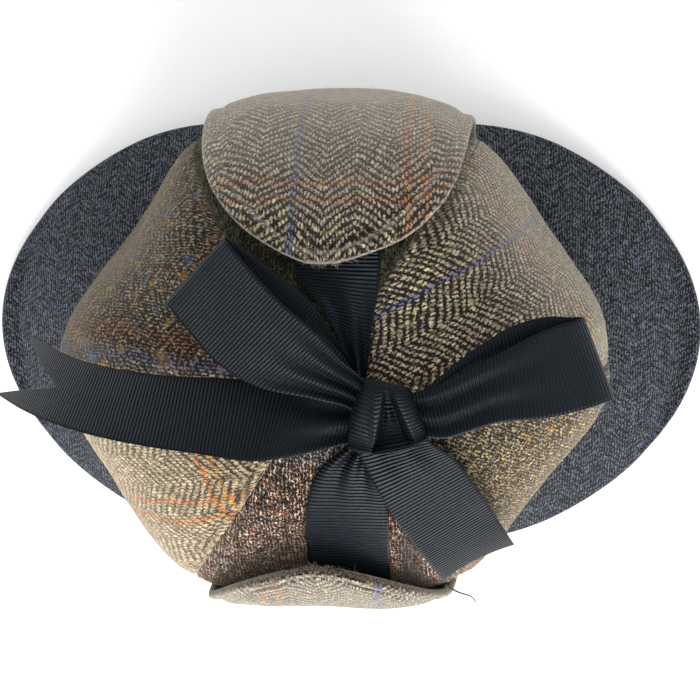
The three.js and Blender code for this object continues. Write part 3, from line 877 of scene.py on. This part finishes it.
def make_flap(name):
    rows = flap_rows(name)
    last = len(rows) - 1
    lengths = [0.0]
    for (a, _), (b, _) in zip(rows, rows[1:]):
        lengths.append(lengths[-1] + (a(0) - b(0)).length)

    def between(v):
        place = min(v * last, last - 1e-6)
        k = int(place)
        return k, place - k

    def surface(u, v):
        k, part = between(v)
        across = 2 * u - 1
        near = [rows[min(max(n, 0), last)][0](across) for n in (k - 1, k, k + 1, k + 2)]
        return through(*near, part)

    def measure(u, v):
        k, part = between(v)
        half = rows[k][1] * (1 - part) + rows[k + 1][1] * part
        length = lengths[k] * (1 - part) + lengths[k + 1] * part
        across = (2 * u - 1) * half
        if name == "ear_flap_right":
            return (-across - 10 * MM, length - 40 * MM)
        return (across, length + FLAP_PULL * max((-across - 20 * MM) / (24 * MM), 0) ** 2)

    def from_edge(across, length):
        """How far a place on the flap's cloth is from its curved free edge."""
        start = lengths[len(FLAP_STARTS)]
        span = lengths[-1] - start
        along = max((length - start) / span, 0.0)
        reach = 1 - (across / FLAP_HALF_WIDTH) ** 2 - along ** FLAP_ROUNDNESS
        slope_across = 2 * across / FLAP_HALF_WIDTH ** 2
        slope_along = FLAP_ROUNDNESS * along ** (FLAP_ROUNDNESS - 1) / span
        return max(reach, 0.0) / max(math.hypot(slope_across, slope_along), 1e-6)

    piece = cloth_grid(f"{name}_cloth", 60, 64, surface, measure)
    places = [(2 * u - 1, v) for u, v in SHARES[f"{name}_cloth"]]
    finish(piece, "SOLIDIFY", thickness=FLAP_THICKNESS - 1.4 * MM, offset=0, use_quality_normals=True)
    face_outwards(piece)
    mark_lining(piece, len(places), LINING_SHOWS[name])
    pad_out(piece)
    soften_flap(piece, places, between, rows, lengths, from_edge)
    finish(piece, "SUBSURF", levels=1, render_levels=1)
    smooth(piece)
    hand_over(piece, "flap_herringbone", MATERIALS["flap_herringbone"], name)
    return piece


# How far the lining comes round a flap's edge: past half its thickness where over 1.
LINING_SHOWS = {"ear_flap_left": 1.0, "ear_flap_right": 2.4}


def mark_lining(piece, half, shows):
    """Notes which layer of a closed flap is its lining, and gives the wall between a weave of its own."""
    mesh = piece.data
    points = [vertex.co for vertex in mesh.vertices]
    lean = sum((points[k] - points[k + half]).dot(Vector((points[k].x, 0, points[k].z - RIM_HEIGHT)))
               for k in range(half))
    first_inside = lean < 0
    note = mesh.attributes.new("lining", "FLOAT", "POINT")
    for k in range(len(points)):
        note.data[k].value = shows if (k < half) == first_inside else 0.0
    weave = mesh.uv_layers.active.data
    for face in mesh.polygons:
        if len({k < half for k in face.vertices}) == 2:
            for loop in face.loop_indices:
                if (mesh.loops[loop].vertex_index < half) == first_inside:
                    place = weave[loop].uv
                    weave[loop].uv = place + place.normalized() * FLAP_THICKNESS


def pad_out(piece):
    """Blows the closed flap up with the Cloth modifier, then holds each point close to its start."""
    before = [vertex.co.copy() for vertex in piece.data.vertices]
    held = piece.vertex_groups.new(name="sewn")
    rim = [k for k in range(len(before)) if before[k].z < RIM_HEIGHT + 4 * MM]
    held.add(rim, 1.0, "REPLACE")
    only(piece)
    cloth = piece.modifiers.new("Padding", "CLOTH")
    cloth.settings.use_pressure = True
    cloth.settings.uniform_pressure_force = 3.0
    cloth.settings.quality = 5
    cloth.settings.mass = 0.2
    cloth.settings.tension_stiffness = 25
    cloth.settings.compression_stiffness = 25
    cloth.settings.vertex_group_mass = "sewn"
    cloth.settings.effector_weights.gravity = 0
    cloth.collision_settings.use_collision = False
    cloth.point_cache.frame_start = 1
    cloth.point_cache.frame_end = 14
    for step in range(1, 15):
        bpy.context.scene.frame_set(step)
    bpy.ops.object.modifier_apply(modifier=cloth.name)
    bpy.context.scene.frame_set(1)
    for vertex, start in zip(piece.data.vertices, before):
        move = vertex.co - start
        if move.length > PAD_SWELL:
            vertex.co = start + move * (PAD_SWELL / move.length)


def soften_flap(piece, places, between, rows, lengths, from_edge):
    """Presses the seam in along the rolled edge, and lets the cloth between wander a little."""
    normals = [vertex.normal.copy() for vertex in piece.data.vertices]
    for k, vertex in enumerate(piece.data.vertices):
        across_share, v = places[k % len(places)]
        row, part = between(v)
        across = across_share * (rows[row][1] * (1 - part) + rows[row + 1][1] * part)
        length = lengths[row] * (1 - part) + lengths[row + 1] * part
        edge = from_edge(across, length)
        wander = noise.noise(vertex.co / (22 * MM)) * 0.7 * MM + noise.noise(vertex.co / (9 * MM)) * 0.25 * MM
        pull = EDGE_GROOVE * bell((edge - EDGE_ROLL) / (1.3 * MM))
        roll = 0.5 * MM * bell((edge - 1.8 * MM) / (1.6 * MM))
        vertex.co += normals[k] * (wander * min(edge / (6 * MM), 1.0) - pull + roll)


# ------------------------------------------------------------------ the ribbon

# x, y and the direction of the ribbon's width, its width and its distance from the crown.
STRAPS = {
    "ribbon_strap_left": [
        (7, -15, -130, 7, 1.6), (18, -13, -120, 13, 1.6), (27, -11, -105, 18, 1.5),
        (37, -8, -95, 27, 1.4), (46, -7, -90, 30, 1.3), (70, -7, -90, 30, 1.3)],
    "ribbon_strap_right": [
        (-13, -19, -110, 7, 1.9), (-19, -16, -105, 8, 1.6), (-29, -12, -98, 22, 1.5), (-43, -11, -90, 29, 1.4),
        (-62, -11, -92, 30, 1.3), (-84, -11, -90, 30, 1.3)],
}
# x, y, z, the direction of the width, how far it rises, and the width.
FREE = {
    "bow_loop_front": [
        (-5, -31, 151.5, -168, 0, 8), (-3, -37, 152.0, -165, 0, 9), (-1, -42, 151, -160, 0, 12),
        (6, -55, 150, -162, 0, 19), (11, -70, 147.5, -164, 0, 27),
        (13, -83, 144, -160, 0, 30), (13, -92.5, 142, -158, 0, 30), (13.5, -96.5, 145.5, -158, 0, 30),
        (13, -93.5, 149, -158, 0, 30), (11, -86, 152, -160, 0, 30), (8, -75, 155, -168, 0, 28),
        (4, -61, 157, -172, 0, 22), (-1, -50, 157, -166, 0, 19), (-4, -43, 156.5, -164, 0, 18),
        (-5, -37, 155.5, -168, 0, 16),
        (-6, -31, 154.5, -170, 0, 14)],
    "bow_loop_rear": [
        (4, -13, 153, 150, 0, 10), (12, -1, 153, 146, 0, 22), (23, 13, 151.5, 140, 0, 30),
        (34, 28, 149, 138, 0, 30), (40, 37, 147.5, 137, 0, 30), (42.5, 40, 151, 137, 0, 30),
        (40.5, 38, 154.5, 137, 0, 30), (33, 31, 157.5, 137, 0, 30), (23, 21, 160.5, 137, 0, 30),
        (14, 8, 161.5, 133, 0, 27), (8, -4, 161, 140, 0, 17), (4, -12, 158.5, 150, 0, 12),
        (1, -16, 156.5, 155, 0, 10),
        (-1, -20, 155, 158, 0, 9)],
    "bow_tail_long": [
        (-9, -16, 151.5, 170, 0, 14), (-9, -10, 152, 165, 4, 17), (-9, 2, 154.5, 158, 18, 24),
        (-7.5, 18, 158, 170, 36, 30), (-6, 36, 158, 177, 43, 30), (-5, 54, 156, 176, 48, 30),
        (-3.5, 72, 151, 173, 51, 30), (-1.5, 89, 142.5, 169, 52, 30), (0.5, 104, 129.5, 166, 50, 30),
        (2.5, 119.5, 111, 164, 47, 30)],
    "bow_tail_short": [
        (-14, -25, 151, -76, 0, 23), (-20, -29, 150.5, -72, 0, 25), (-29, -36, 149.5, -62, -4, 29),
        (-43, -45, 144, -60, -10, 30), (-55, -52, 136, -62, -16, 30), (-63, -56.3, 129, -62, -16, 30),
        (-69.5, -59.5, 121.5, -61, -15, 30)],
}
CUTS = {
    "bow_tail_long": lambda across: 1 - 0.26 * (1 - abs(across)),
    "bow_tail_short": lambda across: 1 - 0.035 * (1 - across) - 0.05 * (1 - across * across),
}
# How many half waves of pleats run across the gathered stretch of a ribbon, and how they are shifted.
PLEATS = {
    "ribbon_strap_left": (2.0, 0.4), "ribbon_strap_right": (2.6, 1.2),
    "bow_loop_front": (2.4, 0.8), "bow_loop_rear": (2.8, -0.6),
    "bow_tail_long": (2.0, 1.4), "bow_tail_short": (2.4, 0.3),
}


def gathers(name, across, width):
    """How far the pleats of a gathered ribbon stand up, in millimetres."""
    gathered = max(1 - (width / 30) ** 2, 0.0)
    folds, shift = PLEATS[name]
    return gathered * 1.5 * math.sin(folds * math.pi * across + shift)


def make_ribbon(name):
    lying = name in STRAPS
    rows = STRAPS[name] if lying else FREE[name]
    route = Route(rows, measured=2 if lying else 3)
    cut = CUTS.get(name, lambda across: 1.0)
    length = route.length * MM

    def surface(u, v):
        across = 2 * u - 1
        row = route.at(v * cut(across))
        if lying:
            x, y, heading, width, lift = row
            offset = across * width / 2
            return on_crown(
                (x + offset * math.cos(math.radians(heading))) * MM,
                (y + offset * math.sin(math.radians(heading))) * MM,
                (lift + gathers(name, across, width)) * MM)
        x, y, z, heading, lean, width = row
        offset = across * width / 2
        level = offset * math.cos(math.radians(lean))
        wave = 0.35 * noise.noise(Vector((x, y, z)) / 16 + Vector((across, 0, 0)))
        return Vector((
            x + level * math.cos(math.radians(heading)),
            y + level * math.sin(math.radians(heading)),
            z + offset * math.sin(math.radians(lean)) + gathers(name, across, width) + wave)) * MM

    def measure(u, v):
        across = 2 * u - 1
        return (across * RIBBON_WIDTH / 2, v * cut(across) * length)

    piece = cloth_grid(f"{name}_silk", 24, 100, surface, measure)
    thicken(piece, RIBBON_THICKNESS, 0, levels=1)
    hand_over(piece, "black_grosgrain", RIBBON, name)
    return piece


KNOT_MIDDLE = Vector((-5.0, -24.0, 153.4)) * MM
KNOT_LENGTH = 62 * MM
KNOT_HALF_LENGTH = 10.6              # in millimetres, as are the other sizes in make_knot
KNOT_RISE = 9.6


def ease(low, high, value):
    """0 below low, 1 above high, smooth between."""
    part = min(max((value - low) / (high - low), 0.0), 1.0)
    return part * part * (3 - 2 * part)


def knot_relief(across, down, over):
    """The height of the knot's front: a pleat folded over on the left, a lobe and a hollow between."""
    pleat = -0.02 - 0.42 * down ** 1.4
    lobe = 0.16 + 0.42 * down
    inside = ease(pleat, pleat + 0.09, across) * (1 - ease(lobe - 0.08, lobe + 0.22, across))
    hollow = 6.6 * inside * ease(0.0, 0.25, down) * (1 - ease(0.86, 0.98, down))
    tongue = 2.2 * bell((across - (pleat + lobe) / 2) / 0.16) * bell((down - 0.42) / 0.16)
    crease = 0.9 * bell((across + 0.62 - 0.3 * down) / 0.12) * down
    lip = 2.4 * bell((down - 0.95) / 0.05)
    puff = (1 - 0.60 * abs(across) ** 3.5) * over ** 0.6
    return KNOT_RISE * puff - (hollow + crease) * over + tongue * inside * over + lip


def make_knot():
    """The band that holds the bow: wrapped round its middle, narrow above and fanned out below."""
    def surface(u, v):
        turn = 2 * math.pi * u
        down = (1 - math.cos(turn)) / 2
        over = math.sin(turn)
        across = 2 * v - 1
        half = 7.9 + 5.4 * math.sin(down * math.pi / 2) ** 0.85
        sag = -1.5 * across * (1 - down) + (2.0 * across - 2.6 * (1 - across * across)) * down
        dip = 1.1 * bell((across + 0.30) / 0.16) * max(over, 0)
        x = KNOT_HALF_LENGTH * math.cos(turn) + sag - dip
        z = knot_relief(across, down, over) if over > 0 else 3.2 * over
        return KNOT_MIDDLE + Vector((x, -across * half - 1.6 * down, z)) * MM

    def measure(u, v):
        return ((v - 0.5) * RIBBON_WIDTH, u * KNOT_LENGTH)

    piece = cloth_grid("bow_knot_silk", 84, 48, surface, measure)
    finish(piece, "WELD", merge_threshold=0.01 * MM)
    thicken(piece, RIBBON_THICKNESS, -1)
    hand_over(piece, "black_grosgrain", RIBBON, "bow_knot")


# ------------------------------------------------------------------ loose wool

# Cloth, its share of the fibres, their two colours.
NAPS = {
    "crown_panel_front_left": (650, rgb(0.50, 0.45, 0.35), rgb(0.30, 0.26, 0.20)),
    "crown_panel_left": (350, rgb(0.16, 0.15, 0.09), rgb(0.07, 0.07, 0.04)),
    "crown_panel_rear_left": (1100, rgb(0.34, 0.28, 0.20), rgb(0.20, 0.14, 0.08)),
    "crown_panel_rear_right": (800, rgb(0.60, 0.53, 0.42), rgb(0.40, 0.34, 0.24)),
    "crown_panel_right": (800, rgb(0.36, 0.26, 0.21), rgb(0.22, 0.13, 0.09)),
    "crown_panel_front_right": (1100, rgb(0.42, 0.34, 0.18), rgb(0.26, 0.18, 0.08)),
    "peak_front": (1300, rgb(0.19, 0.22, 0.27), rgb(0.07, 0.08, 0.10)),
    "peak_rear": (1300, rgb(0.19, 0.22, 0.27), rgb(0.07, 0.08, 0.10)),
    "ear_flap_left": (1100, rgb(0.50, 0.45, 0.35), rgb(0.30, 0.26, 0.20)),
    "ear_flap_right": (900, rgb(0.60, 0.54, 0.43), rgb(0.40, 0.34, 0.24)),
}


def make_nap(node, slot, count, colour, other):
    """Short tapered fibres standing off one cloth, rooted on its faces."""
    cloth = bpy.data.objects[f"{node}_cloth"]
    bpy.ops.object.select_all(action="DESELECT")
    bpy.ops.mesh.primitive_cone_add(
        vertices=3, radius1=1, radius2=0.3, depth=1, end_fill_type="NOTHING", location=(0, 0, 0.5))
    pattern = bpy.context.object
    pattern.data.transform(Matrix.Translation((0, 0, 0.5)))
    pattern.location = (0, 0, 0)
    only(pattern)
    bpy.ops.object.mode_set(mode="EDIT")
    bpy.ops.mesh.select_all(action="SELECT")
    bpy.ops.mesh.subdivide(number_cuts=1)
    bpy.ops.object.mode_set(mode="OBJECT")
    faces = cloth.data.polygons
    places = []
    for _ in range(count):
        face = faces[GRAIN.randrange(len(faces))]
        corners = [cloth.data.vertices[k].co for k in face.vertices]
        weights = [GRAIN.random() + 0.01 for _ in corners]
        total = sum(weights)
        root = sum((corner * (w / total) for corner, w in zip(corners, weights)), Vector())
        sideways = Vector([GRAIN.gauss(0, 1) for _ in range(3)]).cross(face.normal).normalized()
        aim = (face.normal * GRAIN.uniform(0.15, 0.8) + sideways).normalized()
        length = GRAIN.uniform(1.2, 3.6) * MM
        thick = GRAIN.uniform(0.028, 0.05) * MM
        turn = aim.to_track_quat("Z", "Y").to_matrix().to_4x4()
        places.append(Matrix.Translation(root) @ turn @ Matrix.Diagonal((thick, thick, length, 1)))
    fibres = repeated(f"{node}_nap", pattern, places)
    hand_over(fibres, slot, wool(f"{node}_wool", colour, other))


def make_loose_thread():
    """One end of yarn that has worked out of the right flap's front corner."""
    route = Route([
        (-78.5, -46.5, 119.5), (-80.5, -51.5, 121.0), (-81.0, -56.0, 123.5), (-83.0, -58.0, 124.0)], measured=3)
    bpy.ops.object.select_all(action="DESELECT")
    bpy.ops.mesh.primitive_cylinder_add(vertices=6, radius=1, depth=1, end_fill_type="NOTHING")
    pattern = bpy.context.object
    places = []
    steps = 14
    for k in range(steps):
        a = Vector(route.at(k / steps)) * MM
        b = Vector(route.at((k + 1) / steps)) * MM
        turn = (b - a).to_track_quat("Z", "Y").to_matrix().to_4x4()
        thick = 0.38 * MM * (1 - 0.4 * k / steps)
        size = Matrix.Diagonal((thick, thick, (b - a).length * 1.1, 1))
        places.append(Matrix.Translation((a + b) / 2) @ turn @ size)
    hand_over(repeated("loose_thread", pattern, places), "flap_herringbone", DARK_THREAD)


# ------------------------------------------------------------------ building

set_camera()
set_floor()
set_lights()
make_crown()
make_peak("peak_front", 0.0)
make_peak("peak_rear", math.pi)
for flap in FLAP_LIES:
    make_flap(flap)
for ribbon in (*STRAPS, *FREE):
    make_ribbon(ribbon)
make_knot()
make_topstitching()
for node, (count, colour, other) in NAPS.items():
    make_nap(node, SLOT_OF[node], count, colour, other)
make_loose_thread()
